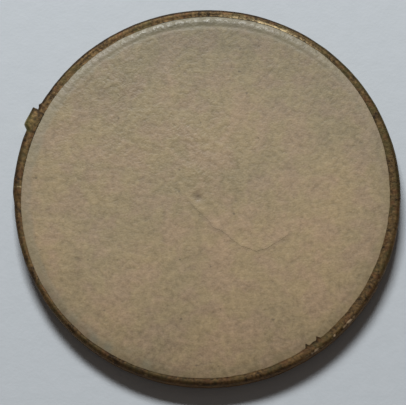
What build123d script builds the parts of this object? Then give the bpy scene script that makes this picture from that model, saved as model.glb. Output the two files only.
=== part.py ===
from build123d import *
from math import cos, radians, sin
import os

os.makedirs("parts", exist_ok=True)

# A bound transit token. A struck brass plate, a core of pasteboard plies and a plain paper
# face are held together by a strip of brass foil, which is wrapped round the edge, turned
# over both faces, lapped on itself and soldered.
#
# The origin is the centre of the surface that the token rests on, and +Z points out of the
# paper face. Lengths are in millimetres. Angles are in degrees, counter-clockwise from +X.

# ---- Driving sizes ----------------------------------------------------------------------

# Edge band
token_diameter = 38.0  # over the band, away from its lap
foil_thickness = 0.12
lip_width = 0.75  # how far each lip reaches in over a face
arris_radius = 0.30  # outside rounding between the wall and a lip

# Lap of the band
free_end_angle = 152.5  # where the outer layer ends, flared off the token
flare_end_angle = 158.8  # where the flare meets the closed part of the lap
hidden_end_angle = 178.0  # where the inner layer ends, under the lap
joggle_start_angle = 180.5  # where the strip steps out to pass over its other end
joggle_end_angle = 182.0
lap_gap = 0.03  # room for solder between the two layers
flare_height = 0.40  # how far the free end stands off the lap
flare_bend_width = 0.4  # angle taken by the bend that closes the flare
solder_setback = 0.10  # solder stops this far short of the lips' edges

# Layers inside the band
plate_thickness = 0.30
ply_thickness = 0.40
facing_thickness = 0.15
wall_clearance = 0.05  # pasteboard to the inside of the band's wall
corner_clearance = 0.02  # plate and paper to the band's inside corners

# Paper face
roll_width = 0.95  # rolled margin of the face, inwards from the lip
face_proud = 0.02  # face above the lapped lip

# Struck side of the plate
rest_clearance = 0.05  # lapped lip above the surface that the token rests on
border_width = 0.60
border_gap = 0.25  # between the lip's edge and the raised border
border_rounding = 0.10
bead_count = 80
bead_radius = 0.20
bead_gap = 1.00  # between the border and the circle through the beads
relief_height = 0.18
relief_chamfer = 0.07
wheel_diameter = 21.0
wheel_rim_width = 1.30
hub_diameter = 4.40
axle_diameter = 1.80
axle_height = 0.24
spoke_count = 12
spoke_root_width = 0.95
spoke_tip_width = 0.60

# ---- Worked-out sizes -------------------------------------------------------------------

outer_radius = token_diameter / 2
lip_edge_radius = outer_radius - lip_width
board_radius = outer_radius - foil_thickness - wall_clearance
tucked_radius = outer_radius - arris_radius - corner_clearance
lap_rise = lap_gap + foil_thickness

# Heights, from the surface that the token rests on upwards
band_bottom = rest_clearance + lap_rise
plate_bottom = band_bottom + foil_thickness
front_board_bottom = plate_bottom + plate_thickness
middle_board_bottom = front_board_bottom + ply_thickness
rear_board_bottom = middle_board_bottom + ply_thickness
rear_board_edge_top = rear_board_bottom + ply_thickness
facing_edge_top = rear_board_edge_top + facing_thickness
band_top = facing_edge_top + foil_thickness

# The middle of the face stands above its tucked edge by this much
crown_rise = foil_thickness + lap_rise + face_proud
face_radius = lip_edge_radius - roll_width

border_radius = lip_edge_radius - border_gap
bead_circle_radius = border_radius - border_width - bead_gap
wheel_radius = wheel_diameter / 2


def radial_plane(angle):
    """Upright plane through the axis: its x runs outwards at this angle, its y is +Z."""
    return Plane(
        origin=(0, 0, 0),
        x_dir=(cos(radians(angle)), sin(radians(angle)), 0),
        z_dir=(sin(radians(angle)), -cos(radians(angle)), 0),
    )


def channel_section(angle, rise, lip_thickness, wall_thickness, flare=0.0, setback=0.0):
    """Section through a layer of the band: an upright wall with a lip over each face.

    rise is how far the layer's outside stands off the outside of the single band, and flare
    how much further the wall alone stands out. setback shortens the lips.
    """
    low = band_bottom - rise
    high = band_top + rise
    wall = outer_radius + rise + flare
    edge = lip_edge_radius + setback
    with BuildSketch(radial_plane(angle)) as section:
        with BuildLine():
            Polyline(
                (edge, low),
                (wall, low),
                (wall, high),
                (edge, high),
                (edge, high - lip_thickness),
                (wall - wall_thickness, high - lip_thickness),
                (wall - wall_thickness, low + lip_thickness),
                (edge, low + lip_thickness),
                close=True,
            )
        make_face()
        fillet(section.vertices().group_by(Axis.X)[-2], arris_radius + rise - lip_thickness)
        fillet(section.vertices().group_by(Axis.X)[-1], arris_radius + rise)
    return section.sketch


def add_stretch(section, start, end):
    """Sweep a section of the band round the axis, and add it to the piece being made."""
    revolve(section, axis=Axis.Z, revolution_arc=end - start)


def crown_curve(rim_radius, edge_height):
    """Top of a layer that the lip presses down: from its rim, up the rolled margin, inwards."""
    foot = (lip_edge_radius, edge_height)
    halfway = (lip_edge_radius - roll_width / 2, edge_height + crown_rise / 2)
    shoulder = (face_radius, edge_height + crown_rise)
    Line((rim_radius, edge_height), foot)
    hollow = TangentArc(foot, halfway, tangent=(-1, 0))
    TangentArc(halfway, shoulder, tangent=hollow % 1)
    Line(shoulder, (0, edge_height + crown_rise))


def write(piece, name):
    """Label a finished piece and write its file."""
    piece.part.label = name
    export_step(piece.part, f"parts/{name}.step")


# ---- Edge band: one strip, wound once round and lapped ----------------------------------

foil = foil_thickness
joggle_thickness = lap_rise + foil_thickness  # both layers and the gap between them
bend_thickness = flare_height + foil_thickness
flare_bend_angle = flare_end_angle - flare_bend_width
hidden_end_next_turn = hidden_end_angle + 360

single_layer = channel_section(joggle_end_angle, 0, foil, foil)
joggle = channel_section(joggle_start_angle, lap_rise, joggle_thickness, joggle_thickness)
outer_layer = channel_section(flare_end_angle, lap_rise, foil, foil)
flare_bend = channel_section(flare_bend_angle, lap_rise, foil, bend_thickness, flare_height)
free_end = channel_section(free_end_angle, lap_rise, foil, foil, flare_height)

with BuildPart() as edge_band:
    add_stretch(single_layer, joggle_end_angle, hidden_end_next_turn)
    add_stretch(joggle, joggle_start_angle, joggle_end_angle)
    add_stretch(outer_layer, flare_end_angle, joggle_start_angle)
    add_stretch(flare_bend, flare_bend_angle, flare_end_angle)
    add_stretch(free_end, free_end_angle, flare_bend_angle)

write(edge_band, "edge_band")

# ---- Solder film between the two layers of the lap --------------------------------------

solder_film = channel_section(flare_end_angle, lap_gap, lap_gap, lap_gap, setback=solder_setback)

with BuildPart() as lap_solder:
    add_stretch(solder_film, flare_end_angle, hidden_end_angle)

write(lap_solder, "lap_solder")

# ---- Struck plate: border, beads and a plain spoked wheel -------------------------------

with BuildPart() as obverse_plate:
    with BuildSketch(Plane.XY.offset(plate_bottom)):
        Circle(tucked_radius)
    extrude(amount=plate_thickness)

    with BuildSketch():
        Circle(border_radius)
        Circle(border_radius - border_width, mode=Mode.SUBTRACT)
    extrude(amount=plate_bottom)
    fillet(obverse_plate.edges().group_by(Axis.Z)[0], border_rounding)

    with BuildSketch(Plane.XY.offset(plate_bottom - relief_height)):
        Circle(wheel_radius)
        Circle(wheel_radius - wheel_rim_width, mode=Mode.SUBTRACT)
        Circle(hub_diameter / 2)
        with PolarLocations(0, spoke_count):
            Polygon(
                (0, -spoke_root_width / 2),
                (wheel_radius - wheel_rim_width / 2, -spoke_tip_width / 2),
                (wheel_radius - wheel_rim_width / 2, spoke_tip_width / 2),
                (0, spoke_root_width / 2),
                align=None,
            )
    extrude(amount=relief_height)
    relief_face = obverse_plate.faces().filter_by(Plane.XY).group_by(Axis.Z)[1]
    chamfer(relief_face.edges(), relief_chamfer)

    with BuildSketch(Plane.XY.offset(plate_bottom - axle_height)):
        Circle(axle_diameter / 2)
    extrude(amount=axle_height)

    with Locations((0, 0, plate_bottom)):
        with PolarLocations(bead_circle_radius, bead_count):
            Sphere(bead_radius)

write(obverse_plate, "obverse_plate")

# ---- Pasteboard core --------------------------------------------------------------------

with BuildPart() as front_board:
    with BuildSketch(Plane.XY.offset(front_board_bottom)):
        Circle(board_radius)
    extrude(amount=ply_thickness)

write(front_board, "front_board")

with BuildPart() as middle_board:
    with BuildSketch(Plane.XY.offset(middle_board_bottom)):
        Circle(board_radius)
    extrude(amount=ply_thickness)

write(middle_board, "middle_board")

# The rear ply is a thicker one, whose margin is pressed down under the band's lip
with BuildPart() as rear_board:
    with BuildSketch(Plane.XZ):
        with BuildLine():
            crown_curve(board_radius, rear_board_edge_top)
            Polyline(
                (0, rear_board_edge_top + crown_rise),
                (0, rear_board_bottom),
                (board_radius, rear_board_bottom),
                (board_radius, rear_board_edge_top),
            )
        make_face()
    revolve(axis=Axis.Z)

write(rear_board, "rear_board")

# ---- Paper face, pasted over the rear board and tucked under the lip --------------------

with BuildPart() as rear_facing:
    with BuildSketch(Plane.XZ):
        with BuildLine():
            crown_curve(tucked_radius, facing_edge_top)
            crown_curve(tucked_radius, rear_board_edge_top)
            Line((0, rear_board_edge_top + crown_rise), (0, facing_edge_top + crown_rise))
            Line((tucked_radius, rear_board_edge_top), (tucked_radius, facing_edge_top))
        make_face()
    revolve(axis=Axis.Z)

write(rear_facing, "rear_facing")
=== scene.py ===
import math

import bpy
from mathutils import Matrix, Vector, noise


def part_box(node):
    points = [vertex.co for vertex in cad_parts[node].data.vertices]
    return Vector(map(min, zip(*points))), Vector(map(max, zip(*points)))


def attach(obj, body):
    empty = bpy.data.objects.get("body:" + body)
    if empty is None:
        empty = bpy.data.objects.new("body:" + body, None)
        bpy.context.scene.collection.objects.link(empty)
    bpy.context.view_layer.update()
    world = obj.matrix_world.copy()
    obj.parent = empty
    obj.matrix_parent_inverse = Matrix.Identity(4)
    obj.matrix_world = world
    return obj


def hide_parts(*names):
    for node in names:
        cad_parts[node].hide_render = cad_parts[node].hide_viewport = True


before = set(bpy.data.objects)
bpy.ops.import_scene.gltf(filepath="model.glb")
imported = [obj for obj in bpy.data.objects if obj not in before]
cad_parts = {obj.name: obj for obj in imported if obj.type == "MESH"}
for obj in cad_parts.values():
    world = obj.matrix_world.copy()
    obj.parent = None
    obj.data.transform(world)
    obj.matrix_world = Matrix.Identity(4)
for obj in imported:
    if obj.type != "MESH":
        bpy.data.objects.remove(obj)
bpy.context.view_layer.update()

# ---- Pasteboard core --------------------------------------------------------------------
# Three plies of grey-brown pasteboard, pasted face to face and punched out as discs. The band
# hides them, and their cut edges show the furnish of rag and straw in thin layers.

MM = 0.001  # a millimetre, in the scene's metres
dark_straw = (0.24, 0.18, 0.12, 1.0)
pale_rag = (0.47, 0.38, 0.27, 1.0)


class Field:
    """A value that varies over a surface. Arithmetic on it adds Math nodes to its finish."""

    def __init__(self, finish, socket):
        self.finish = finish
        self.socket = socket

    def __add__(self, other):
        return self.finish.maths("ADD", self, other)

    def __radd__(self, other):
        return self.finish.maths("ADD", other, self)

    def __sub__(self, other):
        return self.finish.maths("SUBTRACT", self, other)

    def __rsub__(self, other):
        return self.finish.maths("SUBTRACT", other, self)

    def __mul__(self, other):
        return self.finish.maths("MULTIPLY", self, other)

    def __rmul__(self, other):
        return self.finish.maths("MULTIPLY", other, self)

    def __pow__(self, other):
        return self.finish.maths("POWER", self, other)


class Finish:
    """A material in the making: one shader, and the nodes that vary it over the surface."""

    def __init__(self, name, **constants):
        self.material = bpy.data.materials.new(name)
        self.material.use_nodes = True
        self.nodes = self.material.node_tree.nodes
        self.links = self.material.node_tree.links
        self.shader = self.nodes["Principled BSDF"]
        for socket, value in constants.items():
            self.shader.inputs[socket.replace("_", " ")].default_value = value
        self.place = self.node("ShaderNodeTexCoord", output="Object")

    def put(self, socket, value):
        """Link a field to a socket, or set the socket to a number, colour or vector."""
        if isinstance(value, Field):
            self.links.new(value.socket, socket)
        else:
            socket.default_value = value

    def node(self, kind, settings=None, sockets=None, output=0):
        """Add any node: its settings first, then its sockets' values or links."""
        added = self.nodes.new(kind)
        for name, value in (settings or {}).items():
            setattr(added, name, value)
        for name, value in (sockets or {}).items():
            self.put(added.inputs[name], value)
        return Field(self, added.outputs[output])

    def maths(self, operation, first, second):
        return self.node("ShaderNodeMath", {"operation": operation}, {0: first, 1: second})

    def grain(self, size, detail=3.0, place=None, distortion=0.0):
        """Cloudy noise from 0 to 1, with features of about this size in metres."""
        sockets = {
            "Vector": place or self.place,
            "Scale": 1 / size,
            "Detail": detail,
            "Roughness": 0.55,
            "Distortion": distortion,
        }
        return self.node("ShaderNodeTexNoise", None, sockets)

    def rise(self, field, low, high):
        """0 where the field is below low, 1 where it is above high, and smooth between."""
        sockets = {"Value": field, "From Min": low, "From Max": high}
        return self.node("ShaderNodeMapRange", {"interpolation_type": "SMOOTHSTEP"}, sockets)

    def stretch(self, scale):
        """Places multiplied along each axis, to draw a pattern out."""
        return self.node("ShaderNodeMapping", None, {"Vector": self.place, "Scale": scale})

    def tint(self, share, first, second):
        """A colour that goes from the first to the second as share goes from 0 to 1."""
        sockets = {0: share, 6: first, 7: second}
        return self.node("ShaderNodeMix", {"data_type": "RGBA"}, sockets, 2)

    def relief(self, height, distance):
        """A bumped normal: a height from 0 to 1, and how many metres that stands for."""
        sockets = {"Height": height, "Distance": distance, "Strength": 1.0}
        return self.node("ShaderNodeBump", None, sockets)

    def vary(self, **fields):
        """Feed the shader's own inputs."""
        for socket, field in fields.items():
            self.put(self.shader.inputs[socket.replace("_", " ")], field)


def dress(piece, finish):
    """Give a piece one finish all over."""
    piece.data.materials.clear()
    piece.data.materials.append(finish.material)


pasteboard = Finish("pasteboard", Roughness=0.9)
furnish = pasteboard.grain(0.5 * MM, detail=5.0)
layers = pasteboard.grain(0.4 * MM, place=pasteboard.stretch((1.0, 1.0, 9.0)))
pasteboard.vary(
    Base_Color=pasteboard.tint(0.55 * furnish + 0.45 * layers, dark_straw, pale_rag),
    Normal=pasteboard.relief(furnish + layers, 0.02 * MM),
)

for name in ("front_board", "middle_board", "rear_board"):
    dress(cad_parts[name], pasteboard)

# ---- Struck plate -----------------------------------------------------------------------
# The hidden side's brass plate, struck with a border, a ring of beads and a spoked wheel. Its
# high points are rubbed bright by the surfaces it slides on, and its field is left brown.

plate_low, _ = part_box("obverse_plate")
plate_field = plate_low.z + 0.32 * MM  # height of the ground that the design stands on
clean_brass = (0.66, 0.47, 0.20, 1.0)
browned_brass = (0.13, 0.075, 0.030, 1.0)

struck_brass = Finish("struck_brass", Metallic=1.0)
height_up = struck_brass.node(
    "ShaderNodeSeparateXYZ", None, {"Vector": struck_brass.place}, "Z"
)
darkening = struck_brass.grain(2.6 * MM, detail=5.0, distortion=0.6)
specks = struck_brass.grain(0.25 * MM, detail=3.0)
rubbed = 1 - struck_brass.rise(height_up + 0.06 * MM * specks, plate_low.z, plate_field)
browned = struck_brass.rise(darkening + 0.35 * specks - 0.5 * rubbed, 0.35, 0.95)
struck_brass.vary(
    Base_Color=struck_brass.tint(browned, clean_brass, browned_brass),
    Roughness=0.28 + 0.25 * browned + 0.1 * specks,
    Metallic=1 - 0.45 * browned,
    Normal=struck_brass.relief(darkening + 0.6 * specks, 0.012 * MM),
)
dress(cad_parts["obverse_plate"], struck_brass)

# ---- Paper face -------------------------------------------------------------------------
# A disc of stout rag paper, browned with age, pasted over the core. Its margin rolls down
# under the band's lip, and a flap that has torn along a V stands a little off the core.

_, facing_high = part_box("rear_facing")
facing_radius = facing_high.x
paper_thickness = 0.15 * MM
face_cells = 216  # across the disc
band_low, band_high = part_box("edge_band")
band_radius = band_high.y
foil = 0.12 * MM
lap_rise = 0.15 * MM  # how far the band's lapped part stands off the rest of it
band_top = band_high.z - lap_rise
tucked_height = band_top - foil
crown_height = facing_high.z - 0.05 * MM  # leaves room for the flap to stand up
sunk = 0.008  # mm that the whole face lies below its crown, to leave room for its waves
rolled_under = 0.33  # the share of the roll that lies under the lip
roll_min, roll_more = 0.95, 1.1  # width of the roll in mm where it is sharp, and what is added

# The torn edge: each corner in mm, how many mm the flap stands up there, and how dark it is
torn_edge = (
    ((-2.0, -0.4), 0.004, 0.6),
    ((-1.1, -1.5), 0.014, 1.0),
    ((-0.1, -2.3), 0.006, 0.6),
    ((0.6, -3.3), 0.010, 0.9),
    ((1.8, -4.1), 0.012, 0.8),
    ((2.5, -4.7), 0.006, 0.5),
    ((3.9, -5.5), 0.010, 0.8),
    ((4.9, -5.8), 0.014, 0.9),
    ((5.9, -5.5), 0.010, 0.7),
    ((7.0, -4.8), 0.005, 0.6),
    ((8.0, -4.2), 0.006, 1.0),
)
tear = [Vector(corner) * MM for corner, lift, darkness in torn_edge]
# Each crumpled area: its middle and how far it spreads, in mm
crumples = (((-9.0, 10.0), 9.0), ((-0.2, 3.6), 4.2))
# Each crease: its two ends and half-width in mm, and how tall it stands in mm
creases = (
    ((-8.9, -0.5), (-7.4, -1.8), 0.12, -0.018),
    ((-5.0, -5.4), (-3.3, -3.9), 0.14, 0.016),
    ((5.1, 12.9), (7.7, 12.8), 0.14, 0.014),
    ((-11.6, 15.2), (-9.0, 12.2), 0.15, 0.020),
    ((-12.3, 13.2), (-9.6, 10.6), 0.14, 0.020),
    ((-10.6, 13.9), (-7.0, 13.6), 0.14, 0.018),
    ((-12.8, 11.2), (-10.4, 9.4), 0.14, -0.018),
    ((-1.6, 4.6), (1.4, 3.0), 0.20, 0.026),
    ((-0.6, 6.0), (2.6, 4.1), 0.20, 0.022),
    ((-2.6, 3.2), (0.2, 1.6), 0.18, 0.026),
    ((-3.4, 2.4), (-1.6, 0.9), 0.18, 0.024),
    ((0.6, 2.6), (3.2, 1.0), 0.20, 0.018),
    ((-4.6, 1.4), (-2.4, 0.1), 0.16, -0.020),
    ((2.9, -3.6), (4.3, -3.2), 0.14, 0.014),
)


def ease(share):
    """Goes from 0 to 1 with the share, level at both ends."""
    share = min(max(share, 0.0), 1.0)
    return share * share * (3 - 2 * share)


def between(value, start, end):
    """Share of the way from start to end, kept from 0 to 1."""
    return min(max((value - start) / (end - start), 0.0), 1.0)


def hump(value, middle, width):
    """A smooth bump of height 1 about its middle."""
    return math.exp(-(((value - middle) / width) ** 2))


def lip_reach(angle):
    """How far the upper lip reaches in over the paper: hand-crimped, so it isn't even."""
    return MM * (
        0.82
        + 0.13 * math.cos(angle)
        + 0.02 * math.sin(angle)
        + 0.06 * math.cos(2 * angle)
        - 0.13 * math.sin(2 * angle)
        + 0.05 * math.cos(3 * angle)
        + 0.12 * hump(math.degrees(angle), 85, 28)
    )


def way_along(point, start, end):
    """Share of the way from start to end nearest to the point, and its distance from there."""
    line = end - start
    share = min(max((point - start).dot(line) / line.length_squared, 0.0), 1.0)
    return share, (point - start - share * line).length


def cloud(point, size, seed):
    """Smooth noise from -1 to 1 with features of this size."""
    return noise.noise(Vector((point.x / size, point.y / size, seed)))


def rim_noise(angle, size, seed):
    """Noise from -1 to 1 that runs along the rim, with features of this size."""
    place = Vector((math.cos(angle), math.sin(angle), 0.0)) * band_radius / size
    place.z = seed
    return noise.noise(place)


def spot(point, middle, size):
    """1 at a middle given in mm, and fading to 0 over a size in mm."""
    return hump((point - Vector(middle) * MM).length, 0.0, size * MM)


def crumpled(point):
    """Where the face is crumpled: the upper left, and a patch beside its middle."""
    share = min(sum(spot(point, middle, size) for middle, size in crumples), 1.0)
    return share * (0.75 + 0.5 * cloud(point, 2.5 * MM, 21.0))


def pinched(angle):
    """How sharply the roll is set off from the face: most at the top."""
    return 0.2 + 0.8 * hump(math.degrees(angle), 90, 43)


def face_height(point):
    """Height of the paper's top at a place on the face, before the tear opens."""
    angle = math.atan2(point.y, point.x)
    from_lip = band_radius - lip_reach(angle) - point.length
    roll_width = MM * (roll_min + roll_more * (1 - pinched(angle)))
    share = min(max(from_lip / roll_width + rolled_under, 0.0), 1.0)
    rolled = math.sin(math.pi / 2 * share)
    height = tucked_height + (crown_height - tucked_height) * rolled
    inside = ease(from_lip / roll_width)
    rough = crumpled(point) * inside
    ridged = 1 - abs(cloud(point, 0.95 * MM, 5.0)) - abs(cloud(point, 0.5 * MM, 6.0))
    # Waves from broad to fine, and the ridges of the crumpled areas
    height += MM * (
        inside * 0.016 * cloud(point, 5.0 * MM, 1.0)
        + inside * 0.009 * cloud(point, 1.7 * MM, 2.0)
        + inside * 0.006 * cloud(point, 0.6 * MM, 3.0)
        + rough * 0.018 * ridged
        - sunk
    )
    # At the top, a low ridge and a groove set the roll off from the face, and it is puckered
    edge = from_lip / MM
    height += 0.012 * MM * pinched(angle) * hump(edge, 0.52, 0.18)
    height -= 0.045 * MM * pinched(angle) * hump(edge, 0.90, 0.15)
    puckers = rim_noise(angle, 0.5 * MM, 13.0) + 0.6 * rim_noise(angle, 1.3 * MM, 14.0)
    puckers = 0.5 * puckers + 1.3 * cloud(point, 0.45 * MM, 15.0)
    puckered = hump(edge, 0.28, 0.28) * (0.05 + 0.95 * hump(math.degrees(angle), 89, 34))
    height += 0.020 * MM * puckers * puckered
    for start, end, width, tall in creases:
        share, away = way_along(point, Vector(start) * MM, Vector(end) * MM)
        fade = math.sin(math.pi * (0.1 + 0.8 * share))
        wander = 0.15 * MM * cloud(point, 0.8 * MM, 7.0)
        height += tall * MM * fade * hump(away + wander, 0.0, width * MM)
    # Well under the lip, the paper lies below the foil
    if from_lip < -0.16 * MM:
        height = min(height, tucked_height)
    return height


def start_mesh(name):
    """Name the primitive that was just added, and put its size and place in its mesh."""
    piece = bpy.context.object
    piece.name = name
    piece.data.name = name
    bpy.ops.object.transform_apply(location=True, rotation=True, scale=True)
    return piece


bpy.ops.object.select_all(action="DESELECT")
bpy.ops.mesh.primitive_grid_add(
    x_subdivisions=face_cells, y_subdivisions=face_cells, size=2.0, location=(0, 0, 0)
)
facing = start_mesh("paper_face")

# The square sheet is rounded to a disc, so that its rim runs along the cells
for vertex in facing.data.vertices:
    u, v = vertex.co.x, vertex.co.y
    vertex.co.x = facing_radius * u * math.sqrt(1 - v * v / 2)
    vertex.co.y = facing_radius * v * math.sqrt(1 - u * u / 2)


def select(mesh, points=None, edges=None, faces=None):
    """Select exactly the points, edges or faces that pass a test on where they are."""
    for vertex in mesh.vertices:
        vertex.select = bool(points) and points(vertex.co)
    for edge in mesh.edges:
        ends = [mesh.vertices[index] for index in edge.vertices]
        edge.select = bool(edges) and edges(*(end.co for end in ends))
        if edge.select:
            for end in ends:
                end.select = True
    for face in mesh.polygons:
        face.select = bool(faces) and faces(face.center)


def edit(select_mode, operator, **settings):
    """Run one edit-mode operator on what is selected."""
    bpy.ops.object.mode_set(mode="EDIT")
    bpy.ops.mesh.select_mode(type=select_mode)
    operator(**settings)
    bpy.ops.object.mode_set(mode="OBJECT")


# The tear is cut line by line, and its edges are split so that the paper can part
cell = 2 * facing_radius / face_cells
for start, end in zip(tear, tear[1:]):
    across = Vector((start.y - end.y, end.x - start.x)).normalized()

    def beside(centre):
        flat = centre.to_2d()
        _, away = way_along(flat, start, end)
        return away < 1.5 * cell and abs(across.dot(flat - start)) < 1.5 * cell

    select(facing.data, faces=beside)
    edit(
        "FACE",
        bpy.ops.mesh.bisect,
        plane_co=(*start, 0),
        plane_no=(*across, 0),
        threshold=0.002 * MM,
    )


def on_tear(point):
    """Whether a place lies on the cut lines."""
    flat = point.to_2d()
    return min(way_along(flat, a, b)[1] for a, b in zip(tear, tear[1:])) < 0.004 * MM


select(facing.data, edges=lambda a, b: on_tear(a) and on_tear(b) and on_tear((a + b) / 2))
edit("EDGE", bpy.ops.mesh.edge_split, type="EDGE")

# The flap is what lies above the tear. It lifts along the torn edge, most at its point
flap_outline = tear + [Vector((8.6, 6.0)) * MM, Vector((-3.4, 6.0)) * MM]
pit, pit_size, pit_depth = (-0.9, -0.3), 0.40, 0.06  # in mm: a dent at the torn corner
# Each speck of dirt and each pale patch: its place and size in mm, and its strength
dark_specks = (
    ((-4.0, 11.3), 0.16, 0.55),
    ((-1.0, 11.0), 0.15, 0.50),
    ((4.2, -16.0), 0.17, 0.50),
    ((15.2, 3.0), 0.20, 0.40),
    ((14.9, 1.6), 0.16, 0.40),
    ((5.5, -3.6), 0.20, 0.30),
    ((8.4, -6.8), 0.30, 0.30),
    ((-12.6, -6.4), 0.20, 0.30),
)
pale_patches = (
    ((-10.4, -5.6), 1.6, 0.45),
    ((-9.0, -10.0), 5.0, 0.45),
    ((-14.0, -3.0), 4.0, 0.25),
    ((0.6, 4.4), 1.5, 0.35),
    ((-2.2, 1.9), 1.3, 0.35),
    ((-10.8, 13.4), 1.6, 0.35),
)


def on_flap(point):
    """Whether a place lies inside the flap's outline."""
    inside = False
    for start, end in zip(flap_outline, flap_outline[1:] + flap_outline[:1]):
        if (start.y > point.y) != (end.y > point.y):
            crossing = start.x + (point.y - start.y) * (end.x - start.x) / (end.y - start.y)
            inside = inside != (point.x < crossing)
    return inside


def beside_tear(point):
    """Distance from the tear, and the lift and darkness at the nearest place on it."""
    nearest = None
    for (start, low, pale), (end, high, dark) in zip(torn_edge, torn_edge[1:]):
        share, away = way_along(point, Vector(start) * MM, Vector(end) * MM)
        if nearest is None or away < nearest[0]:
            nearest = away, low + share * (high - low), pale + share * (dark - pale)
    return nearest


centre_of = {vertex.index: Vector((0, 0)) for vertex in facing.data.vertices}
faces_at = dict.fromkeys(centre_of, 0)
for face in facing.data.polygons:
    for index in face.vertices:
        centre_of[index] += face.center.to_2d()
        faces_at[index] += 1

face_marks = ("dirt_and_shade", "paled", "margin", "crumpled", "glossed")
for name in face_marks:
    facing.data.attributes.new(name, "FLOAT", "POINT")


def mark(piece, index, values):
    """Set one point's values of a piece's attributes."""
    for name, value in values.items():
        piece.data.attributes[name].data[index].value = value


def face_dirt_and_shade(point, turn, edge, away, darkness, lifted):
    """Dark marks: painted shadow along the tear, darker below the flap's edge and mixed with
    dirt; a darker line beside the lip; dirt along the lip at the lower left; a dark pit; and
    specks of dirt.
    """
    broken = 0.75 + 0.6 * cloud(point, 1.1 * MM, 33.0)
    # Painted shadow of the flap's torn edge, mixed with brown dirt: darker on the side below the
    # flap
    tear_shadow = (0.26 if lifted else 0.44) * darkness * hump(away, 0.0, 0.24 * MM) * broken
    by_lip = math.exp(-max(edge, 0.0) / 0.10) * (0.04 + 0.35 * cloud(point, 1.3 * MM, 11.0))
    lower_left = hump(turn, -135, 26) * hump(edge, 0.15, 0.35)
    by_lip += 0.40 * lower_left * (0.7 + cloud(point, 0.9 * MM, 36.0))
    in_pit = 0.85 * spot(point, pit, pit_size) * (0.85 + 0.5 * cloud(point, 0.4 * MM, 12.0))
    specks = sum(dark * spot(point, place, size) for place, size, dark in dark_specks)
    return max(in_pit, tear_shadow, by_lip, specks)


def face_paling(point, away, lifted):
    """Paler: the flap's torn edge, as painted light where the raised flap faces the lamp, and a
    few pale patches, those among the wrinkles as painted light on raised paper.
    """
    lit_flap_edge = 0.9 * hump(away, 0.32 * MM, 0.22 * MM) * lifted
    lit_flap_edge *= 0.6 + 0.8 * cloud(point, 1.5 * MM, 34.0)
    pale = sum(strength * spot(point, place, size) for place, size, strength in pale_patches)
    return lit_flap_edge + pale * (0.7 + 0.7 * cloud(point, 1.2 * MM, 37.0))


def roll_grey_and_shade(point, turn, edge):
    """Greenish grey on the roll, most at the top and left, at the top partly painted shade of
    the groove inside the roll; and streaks of grime at the lower left.
    """
    rolled = 1 - ease((edge - 0.75 - 0.35 * cloud(point, 2 * MM, 35.0)) / 0.5)
    greyed = pinched(math.radians(turn)) + 0.5 * hump(abs(turn), 160, 34)
    streaked = 0.5 + 1.1 * cloud(point, 1.3 * MM, 38.0)
    streaks = hump(turn, -126, 23) * hump(edge, 0.45, 0.75) * max(streaked, 0.0)
    return min(max(rolled * greyed, 1.3 * streaks), 1.3)


def roll_gloss(point, turn, edge):
    """Where the roll is worn smooth, beside the lip at the top; its glints there are also
    painted pale.
    """
    wear_and_highlight = hump(edge, 0.30, 0.26) * hump(turn, 93, 34)
    return wear_and_highlight * (0.55 + 0.45 * between(cloud(point, 1.5 * MM, 39.0), -0.3, 0.3))


for vertex in facing.data.vertices:
    flat = vertex.co.to_2d()
    angle = math.atan2(flat.y, flat.x)
    turn = math.degrees(angle)
    edge = (band_radius - lip_reach(angle) - flat.length) / MM
    lifted = on_flap(centre_of[vertex.index] / max(faces_at[vertex.index], 1))
    away, lift, darkness = beside_tear(flat)
    if lifted:
        stands = lift * MM * ease(1 - away / (1.5 * MM)) ** 2
    else:
        stands = -0.006 * MM * hump(away, 0.0, 0.3 * MM)
    # The cut was made of straight lines: let the torn edge wander, with the paper about it
    straying = hump(away, 0.0, 1.4 * MM) * 0.16 * MM
    vertex.co = (
        flat.x + straying * cloud(flat, 0.9 * MM, 31.0),
        flat.y + straying * cloud(flat, 0.9 * MM, 32.0),
        face_height(flat) + stands - pit_depth * MM * spot(flat, pit, pit_size),
    )
    marks = {
        "dirt_and_shade": face_dirt_and_shade(flat, turn, edge, away, darkness, lifted),
        "paled": face_paling(flat, away, lifted),
        "margin": roll_grey_and_shade(flat, turn, edge),
        "crumpled": crumpled(flat),
        "glossed": roll_gloss(flat, turn, edge),
    }
    mark(facing, vertex.index, marks)


def solidify(piece, thickness):
    """Give a sheet its thickness, on the side that its faces point away from."""
    bpy.ops.object.select_all(action="DESELECT")
    piece.select_set(True)
    bpy.context.view_layer.objects.active = piece
    wall = piece.modifiers.new("thickness", "SOLIDIFY")
    wall.thickness = thickness
    wall.offset = -1.0
    bpy.ops.object.modifier_apply(modifier="thickness")
    piece.data.shade_smooth()


solidify(facing, paper_thickness)
bpy.ops.object.shade_smooth_by_angle(angle=math.radians(50))

# Tan paper, greyer towards the top and warmer towards the bottom, with a mottled green or pink
# cast
grey_tan = (0.360, 0.283, 0.172, 1.0)
warm_tan = (0.405, 0.282, 0.155, 1.0)
green_cast = (0.985, 1.01, 0.955, 1.0)
pink_cast = (1.015, 0.99, 1.03, 1.0)
in_shade = (0.62, 0.62, 0.61, 1.0)
in_light = (1.42, 1.42, 1.42, 1.0)
greenish_grey = (0.27, 0.255, 0.180, 1.0)
worn_white_and_glint = (0.70, 0.68, 0.60, 1.0)
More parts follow.
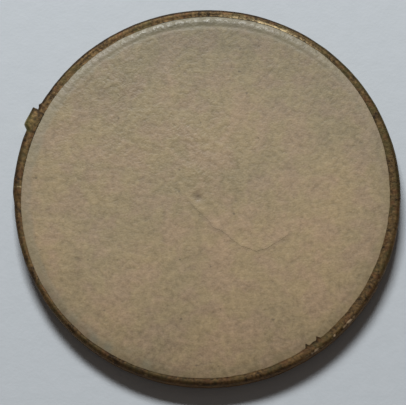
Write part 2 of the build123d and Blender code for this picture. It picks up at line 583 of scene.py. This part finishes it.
# Brown for dirt, and for the painted shadow along the tear
dirt_and_shade_brown = (0.085, 0.062, 0.036, 1.0)
old_paper = Finish("old_paper")
dirt_and_shade, paled, margin, rough, glossed = (
    old_paper.node("ShaderNodeAttribute", {"attribute_name": name}, output="Fac")
    for name in face_marks
)
across_face, up_face = (
    old_paper.node("ShaderNodeSeparateXYZ", None, {"Vector": old_paper.place}, axis)
    for axis in "XY"
)
from_middle = (across_face**2.0 + up_face**2.0) ** 0.5
stains = old_paper.grain(8.0 * MM, detail=4.0)
patches = old_paper.grain(2.4 * MM, detail=3.0)
blotches = old_paper.grain(1.1 * MM, detail=4.0)
mottle = old_paper.grain(0.45 * MM, detail=3.0)
fibres = old_paper.grain(0.16 * MM, detail=2.0)
warmth = 0.5 - up_face * (0.5 / facing_radius) + 1.2 * (stains - 0.5)
aged = old_paper.tint(warmth, grey_tan, warm_tan)
hued = old_paper.tint(old_paper.rise(patches, 0.42, 0.62), green_cast, pink_cast)
lighter = (
    0.55
    + 0.9 * (mottle - 0.5)
    + 0.7 * (blotches - 0.5)
    + 0.6 * (fibres - 0.5)
    + 0.5 * (stains - 0.5)
    - 0.08 * old_paper.rise(from_middle, 0.5 * facing_radius, facing_radius)
    - 0.26 * (up_face * (1 / facing_radius)) ** 2.0
    # Paler where light is painted on the flap's edge and the wrinkles, and in a few pale patches
    + 0.30 * paled
)
shaded = old_paper.tint(lighter, in_shade, in_light)


def tinted_by(finish, first, second):
    """The first colour multiplied by the second."""
    settings = {"data_type": "RGBA", "blend_type": "MULTIPLY"}
    return finish.node("ShaderNodeMix", settings, {0: 1.0, 6: first, 7: second}, 2)


toned = tinted_by(old_paper, tinted_by(old_paper, aged, hued), shaded)
# Painted highlight: pale specks at the glints on the smooth roll at the top, partly worn fibre
glints = glossed * old_paper.rise(mottle, 0.46, 0.58)
# Greenish grey on the roll: partly painted shade at the top, grime at the lower left
margined = old_paper.tint(0.55 * margin, toned, greenish_grey)
pale_wear_and_glints = old_paper.tint(0.55 * glints, margined, worn_white_and_glint)
flecks = old_paper.rise(old_paper.grain(0.75 * MM, detail=1.0), 0.735, 0.79)
# Dirt, dark flecks, and the painted shadow along the tear
dirt_and_shade_share = dirt_and_shade * (0.75 + 0.9 * (mottle - 0.5)) + 0.5 * flecks
calmer = 0.65 + 0.35 * old_paper.rise(up_face, -facing_radius, 0.3 * facing_radius)
relief = calmer * (
    (0.8 + 0.4 * rough + 0.2 * margin + 2.6 * glossed) * mottle
    + (0.35 + 1.2 * glossed) * fibres
    + (0.06 + 0.65 * rough) * blotches
)
old_paper.vary(
    Base_Color=old_paper.tint(dirt_and_shade_share, pale_wear_and_glints, dirt_and_shade_brown),
    Roughness=0.52 + 0.3 * (mottle - 0.5) - 0.30 * glints - 0.06 * rough,
    Normal=old_paper.relief(relief, 0.045 * MM),
)
dress(facing, old_paper)
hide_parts("rear_facing")
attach(facing, "root")

# ---- Edge band --------------------------------------------------------------------------
# One strip of thin brass foil, wound a little more than once round the edge and crimped over
# both faces by hand. It is lapped on the left, where its free end has sprung off the token.

lip_width = 0.75 * MM
arris = 0.38 * MM
band_bottom = band_low.z + lap_rise
free_end = math.radians(153.0)
strip_angle = math.radians(385.0)
steps = 1500
# In degrees along the strip, from its free end: where the flare closes, and the joggle
flare_closes = (5.0, 6.4)
joggle = (25.5, 30.0)
flare_height = 0.40  # mm that the free end stands off
# Places round the token are in degrees from here on
scrap_turn = 150.9  # a scrap of the layer beneath
lap_line_turn = 177.4  # where the hidden end shows through
far_turn, near_turn = 98, 285  # the far side, where shade is painted on wall and arris, and the near side, whose wall is painted a lighter brown, with painted shade at its foot
# Each snagged point of the lip: its place and half-width in degrees, and its length in mm
snags = ((302.5, 0.75, 0.38), (306.7, 0.80, 0.34), (304.6, 2.4, 0.14))
# Each knock on the upper arris: its place and half-width in degrees, and its strength
knocks = (
    (302.8, 2.4, 0.9),
    (306.5, 1.0, 0.3),
    (310.9, 1.6, 0.9),
    (314.0, 1.0, 0.5),
    (317.4, 2.8, 0.7),
    (324.0, 1.5, 0.3),
    (332.5, 1.5, 0.3),
    (252.0, 2.5, 0.25),
)

bpy.ops.object.select_all(action="DESELECT")
bpy.ops.mesh.primitive_plane_add(
    size=1.0,
    location=(band_radius - lip_width / 2, 0, (band_bottom + band_top) / 2),
    rotation=(math.pi / 2, 0, 0),
)
bpy.context.object.scale = (lip_width, band_top - band_bottom, 1.0)
band = start_mesh("foil_band")

# The section: both outer corners rounded, the face and its inner edge taken away
select(band.data, points=lambda point: point.x > band_radius - lip_width / 2)
edit("VERT", bpy.ops.mesh.bevel, affect="VERTICES", offset=arris, segments=5, profile=0.5)
select(band.data, faces=lambda centre: True)
edit("FACE", bpy.ops.mesh.delete, type="ONLY_FACE")
inner = band_radius - lip_width + 0.01 * MM
select(band.data, edges=lambda a, b: max(a.x, b.x) < inner)
edit("EDGE", bpy.ops.mesh.delete, type="EDGE")
select(band.data, edges=lambda a, b: abs(a.z - b.z) < 0.01 * MM)
edit("EDGE", bpy.ops.mesh.subdivide, number_cuts=4)
select(band.data, edges=lambda a, b: abs(a.z - b.z) > arris)
edit("EDGE", bpy.ops.mesh.subdivide, number_cuts=6)
section_points = len(band.data.vertices)

wound = band.modifiers.new("wound", "SCREW")
wound.angle = strip_angle
wound.steps = wound.render_steps = steps
wound.use_merge_vertices = False
bpy.ops.object.select_all(action="DESELECT")
band.select_set(True)
bpy.context.view_layer.objects.active = band
bpy.ops.object.modifier_apply(modifier="wound")


def layer_rise(travelled):
    """How far the strip stands off the single band, and how far its end has sprung out."""
    degrees = math.degrees(travelled)
    closed = lap_rise * (1 - ease(between(degrees, *joggle)))
    sprung = flare_height * (1 - ease(between(degrees, *flare_closes)))
    sprung += 0.06 * hump(degrees, 4.3, 1.4)
    return closed, sprung * MM


def teeth(turn):
    """Two snagged points where the lip's cut edge was caught by the crimping tool."""
    return sum(
        length * MM * max(0.0, 1 - abs(turn - middle) / width) for middle, width, length in snags
    )


band_marks = ("rubbed", "dirt_and_shade", "greened", "browned", "dusty")
for name in band_marks:
    band.data.attributes.new(name, "FLOAT", "POINT")

middle_height = (band_top + band_bottom) / 2
core_radius = band_radius - arris
core_half = (band_top - band_bottom) / 2 - arris
for vertex in band.data.vertices:
    travelled = (vertex.index // section_points) * strip_angle / steps
    from_end = math.degrees(travelled)
    angle = free_end + travelled
    turn = math.degrees(angle) % 360
    radius = vertex.co.to_2d().length
    inwards = (band_radius - radius) / MM
    height = vertex.co.z - middle_height
    upper = height > 0
    # Which way the section faces here, and how far out along the lip the point is
    out = max(radius - core_radius, 0.0)
    up = max(abs(height) - core_half, 0.0)
    facing_out, facing_up = Vector((out, up)).normalized() if out + up > 0 else (1.0, 0.0)
    outward = between(radius, band_radius - lip_width, core_radius)
    closed, sprung = layer_rise(travelled)
    # The lip's cut edge wanders, and its pleats deepen towards that edge
    ragged = 0.05 * rim_noise(angle, 1.4 * MM, 3.0) + 0.025 * rim_noise(angle, 0.35 * MM, 4.0)
    if upper:
        reach = lip_reach(angle) - lip_width + teeth(turn) + ragged * MM
    else:
        reach = (0.05 + 0.08 * math.sin(3 * angle)) * MM - ragged * MM
    pleats = 0.6 * rim_noise(angle, 0.33 * MM, 5.0) + 0.4 * rim_noise(angle, 0.8 * MM, 6.0)
    deeper = (0.25 + 0.55 * (1 - outward) - 0.5 * hump(outward, 0.0, 0.2)) * facing_up
    dented = 0.035 * rim_noise(angle, 2.6 * MM, 8.0)
    dented += 0.02 * rim_noise(angle, 0.9 * MM, height / MM)
    crimped = 0.02 * hump(outward, 0.55, 0.22) * (0.5 + 0.8 * rim_noise(angle, 5.0 * MM, 9.0))
    laid_over = 0.03 * (1 - outward) - 0.02 if upper else 0.0
    pressed_down = closed * (1 - 0.35 * hump(outward, 0.0, 0.35) * upper)
    off = pressed_down + MM * (
        (0.035 * pleats * deeper - crimped + laid_over) * facing_up + dented * facing_out
    )
    radius += off * facing_out + sprung * outward - reach * (1 - outward)
    height += math.copysign(off * facing_up, height)
    # A scrap of the layer beneath sticks up just beyond the free end
    scrap = hump(turn, scrap_turn, 0.5) * (travelled > math.pi) * facing_out
    radius += 0.16 * MM * scrap
    # The free end was torn off askew, and curls
    loose = 1 - between(from_end, 0.0, 2.2)
    askew = 0.7 * (1 - outward) - 0.5 * height / (core_half + arris)
    askew += 0.5 * noise.noise(Vector((radius, height, 0.0)) / (0.4 * MM))
    angle += math.radians(loose * askew * 0.8)
    height -= math.copysign(0.10 * MM * loose * outward * facing_up, height)
    vertex.co = (
        radius * math.cos(angle),
        radius * math.sin(angle),
        max(middle_height + height, band_low.z - 0.02 * MM),
    )
    # The lip's cut edge and its snagged points lie on the paper
    if upper and outward < 0.5:
        on_paper = face_height(vertex.co.to_2d()) + 0.012 * MM
        vertex.co.z = max(vertex.co.z, min(on_paper, facing_high.z))
    # Brightened: the upper arris rubbed in dashes and the free end rubbed, with painted
    # highlights of bare brass on the lip at the upper right and on the lap line
    streaks = rim_noise(angle, 1.3 * MM, 15.0) + 0.5 * rim_noise(angle, 0.4 * MM, 16.0)
    streaks += 0.5 * noise.noise(Vector((radius, height, angle * radius)) / (0.35 * MM))
    dashes = between(streaks, -0.25, 0.35)
    on_arris = hump(inwards, 0.20, 0.15) * facing_up
    glossy = 0.12 + 0.3 * hump(turn, 195, 25) + 0.2 * hump(turn, 262, 14)
    lip_rub_and_highlight = hump(outward, 0.38, 0.42) * facing_up
    lip_rub_and_highlight *= 1.25 * hump(turn, 69, 18) + 0.25 * hump(turn, 125, 30)
    end_rub = 0.7 * hump(from_end, 4.3, 2.2) * facing_out
    lap_line_highlight = 0.7 * hump(turn, lap_line_turn, 0.3) * (travelled < 1.0) * facing_up
    wear_and_highlight = max(on_arris * glossy * dashes, lip_rub_and_highlight * (0.65 + 0.35 * dashes), end_rub, lap_line_highlight)
    # Darkened: painted shade on the wall and arris of the far side and at the foot of the near
    # side, painted shadow at the free end and where its flare closes, and darker cut edges,
    # snagged points, scrap and lower left
    cut_edge = hump(outward, 0.0, 0.2) * facing_up * (0.02 + 0.5 * hump(turn, 35, 30))
    far_side = hump(turn, far_turn, 62)
    near_side = hump(turn, near_turn, 70)
    painted_shade = (0.35 + 0.65 * far_side - 0.35 * near_side) * between(facing_out, 0.3, 0.8)
    painted_shade = max(painted_shade, 1.1 * far_side * (1 - ease(between(inwards, 0.16, 0.40))))
    painted_shade *= (1 - 0.9 * min(glossy, 1.0)) * (1 - end_rub)
    snagged = min(teeth(turn) / (0.15 * MM), 1.0) * hump(outward, 0.0, 0.3) * upper
    # Painted shadow at the free end, and in the gap where its flare closes
    end_shadow = hump(from_end, 0.1, 0.7) + hump(from_end, 6.6, 0.4)
    # Darker towards the lower left, and a little at the upper right
    darker_by_turn = 0.40 * hump(turn, 250, 32) + 0.15 * hump(turn, 75, 25)
    # Painted shade on the near side's wall, towards its foot
    foot = 0.75 * near_side * facing_out * between(-height / MM, -0.7, 0.6)
    darkening = max(cut_edge, painted_shade, snagged, end_shadow, scrap, darker_by_turn, foot)
    # Verdigris on the flared end and the right of the wall; and a dull, lighter earth brown on
    # the wall, most on the near side, and on the lips at the left and bottom, partly patina and
    # partly painted light where these lie in shade
    corroded = hump(from_end, 4.4, 2.4) * (0.3 + 0.7 * facing_out) * outward
    corroded += 0.3 * hump(turn, 30, 25) * facing_out
    on_lips = 0.30 * hump(turn, 185, 45) + 0.30 * hump(turn, 290, 45)
    on_wall = facing_out * (0.3 + 0.7 * near_side)
    # Where it was knocked, the upper arris is scuffed down to a pale, dusty tan
    knocked = sum(strength * hump(turn, middle, width) for middle, width, strength in knocks)
    scuff = knocked * hump(inwards, 0.18, 0.15) * (0.35 + 0.65 * between(dashes, 0.0, 0.5))
    marks = {
        "rubbed": wear_and_highlight,
        "dirt_and_shade": darkening,
        "greened": corroded,
        "browned": max(on_wall, on_lips),
        "dusty": scuff * upper * (0.35 + 0.65 * facing_up),
    }
    mark(band, vertex.index, marks)

for face in band.data.polygons:
    face.select = True
edit("FACE", bpy.ops.mesh.normals_make_consistent, inside=False)
wall = max(band.data.polygons, key=lambda face: face.center.to_2d().length)
if wall.normal.to_2d().dot(wall.center.to_2d()) < 0:
    band.data.flip_normals()
solidify(band, foil)
bpy.ops.object.shade_smooth_by_angle(angle=math.radians(60))

# Brass foil gone brown, in patches olive or red, with brown-black for dark marks and painted
# shade, and a little verdigris
dark_brown = (0.026, 0.016, 0.007, 1.0)
pale_brown = (0.172, 0.106, 0.041, 1.0)
olive_brown = (0.085, 0.070, 0.024, 1.0)
red_brown = (0.125, 0.050, 0.020, 1.0)
brown_black = (0.014, 0.009, 0.004, 1.0)
yellow_green = (0.20, 0.21, 0.06, 1.0)
earth_brown = (0.33, 0.155, 0.035, 1.0)
bare_brass = (0.52, 0.40, 0.22, 1.0)
dusty_tan = (0.66, 0.47, 0.28, 1.0)
patina = Finish("foil_patina")
rubbed, dirt_and_shade, greened, browned, dusty = (
    patina.node("ShaderNodeAttribute", {"attribute_name": name}, output="Fac")
    for name in band_marks
)
clouded = patina.grain(1.2 * MM, detail=4.0, distortion=0.4)
spotted = patina.grain(0.30 * MM, detail=3.0)
pitted = patina.grain(0.13 * MM, detail=2.0)
olive = patina.rise(patina.grain(1.7 * MM, detail=3.0), 0.48, 0.60)
reddened = patina.rise(patina.grain(0.95 * MM, detail=3.0), 0.54, 0.66)
mottled = 0.5 + 1.5 * (spotted - 0.5) + 0.8 * (clouded - 0.5) + 0.5 * (pitted - 0.5)
shades = patina.rise(mottled - 0.42 * dirt_and_shade, 0.10, 0.90)
brown = patina.tint(shades, dark_brown, pale_brown)
olived = patina.tint(0.6 * olive, brown, olive_brown)
reddish = patina.tint(0.45 * reddened, olived, red_brown)
# Brown-black for dark marks and painted shade
grimed_and_shaded = patina.tint(0.7 * dirt_and_shade, reddish, brown_black)
verdigris = patina.tint(greened * (0.4 + 1.2 * (spotted - 0.2)), grimed_and_shaded, yellow_green)
# Lighter, duller earth brown: partly patina, partly painted light on the near wall and the left
# and bottom lips
earthy_and_lit = patina.tint(0.75 * browned * mottled, verdigris, earth_brown)
# Bare brass where rubbed, and as painted highlights on the lip and the lap line
bare_and_highlit = patina.rise(0.8 * rubbed + 0.7 * (spotted - 0.5) + 0.5 * (pitted - 0.5), 0.15, 0.80)
scuffs = patina.rise(dusty + 0.6 * (spotted - 0.5), 0.15, 0.60)
shiny = patina.tint(0.8 * bare_and_highlit, earthy_and_lit, bare_brass)
patina.vary(
    Base_Color=patina.tint(0.9 * scuffs, shiny, dusty_tan),
    Roughness=0.50 - 0.10 * bare_and_highlit + 0.3 * (pitted - 0.5) + 0.2 * browned + 0.1 * dirt_and_shade,
    Metallic=0.78 + 0.17 * bare_and_highlit - 0.55 * browned - 0.55 * scuffs,
    Normal=patina.relief(0.55 * spotted + 0.2 * pitted + 0.45 * clouded, 0.035 * MM),
)
dress(band, patina)
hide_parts("edge_band")
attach(band, "root")

# ---- Solder -----------------------------------------------------------------------------
# A film of dull soft solder, run in between the two layers of the lap.

dark_grey = (0.20, 0.19, 0.16, 1.0)
pale_grey = (0.48, 0.46, 0.40, 1.0)
solder = Finish("soft_solder", Metallic=0.9)
dull = solder.grain(0.5 * MM, detail=4.0)
solder.vary(
    Base_Color=solder.tint(dull, dark_grey, pale_grey),
    Roughness=0.45 + 0.2 * dull,
    Normal=solder.relief(dull, 0.01 * MM),
)
dress(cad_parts["lap_solder"], solder)

# ---- Table, light and camera ------------------------------------------------------------
# A sheet of plain bluish-white paper. One soft light stands beyond the token's far side.

bpy.ops.object.select_all(action="DESELECT")
bpy.ops.mesh.primitive_plane_add(size=3.0, location=(0, 0, 0))
table = start_mesh("table")
bluish = (0.66, 0.705, 0.735, 1.0)
bluish_white = (0.71, 0.75, 0.785, 1.0)
white_paper = Finish("white_paper", Roughness=0.9)
tooth = white_paper.grain(1.4 * MM, detail=4.0)
fine_tooth = white_paper.grain(0.3 * MM, detail=3.0)
white_paper.vary(
    Base_Color=white_paper.tint(tooth, bluish, bluish_white),
    Normal=white_paper.relief(tooth + 0.5 * fine_tooth, 0.03 * MM),
)
dress(table, white_paper)

world = bpy.data.worlds.new("studio")
bpy.context.scene.world = world
world.use_nodes = True
surroundings = world.node_tree.nodes["Background"]
surroundings.inputs["Color"].default_value = (1.0, 0.87, 0.79, 1.0)
surroundings.inputs["Strength"].default_value = 0.070


def aim(thing, place, target):
    """Put a light or camera at a place, looking at a target, with +Y upwards in its view."""
    back = (place - target).normalized()
    right = Vector((0, 1, 0)).cross(back).normalized()
    turned = Matrix((right, back.cross(right), back)).transposed()
    thing.matrix_world = Matrix.Translation(place) @ turned.to_4x4()


lamp = bpy.data.lights.new("window", "AREA")
lamp.shape = "RECTANGLE"
lamp.size = 0.17
lamp.size_y = 0.085
lamp.energy = 1.58
lamp.color = (0.975, 1.0, 1.02)
window = bpy.data.objects.new("window", lamp)
bpy.context.scene.collection.objects.link(window)
aim(window, Vector((-38.4, 291.9, 299.6)) * MM, Vector((0, 0, 0)))
bpy.context.scene.view_settings.view_transform = "Standard"

lens = bpy.data.cameras.new("camera")
lens.lens = 196.0
lens.sensor_width = 36.0
lens.clip_start = 0.01
camera = bpy.data.objects.new("camera", lens)
bpy.context.scene.collection.objects.link(camera)
bpy.context.scene.camera = camera
aim(camera, Vector((5.6, -49.3, 213.4)) * MM, Vector((-0.38, -0.84, 2.0)) * MM)
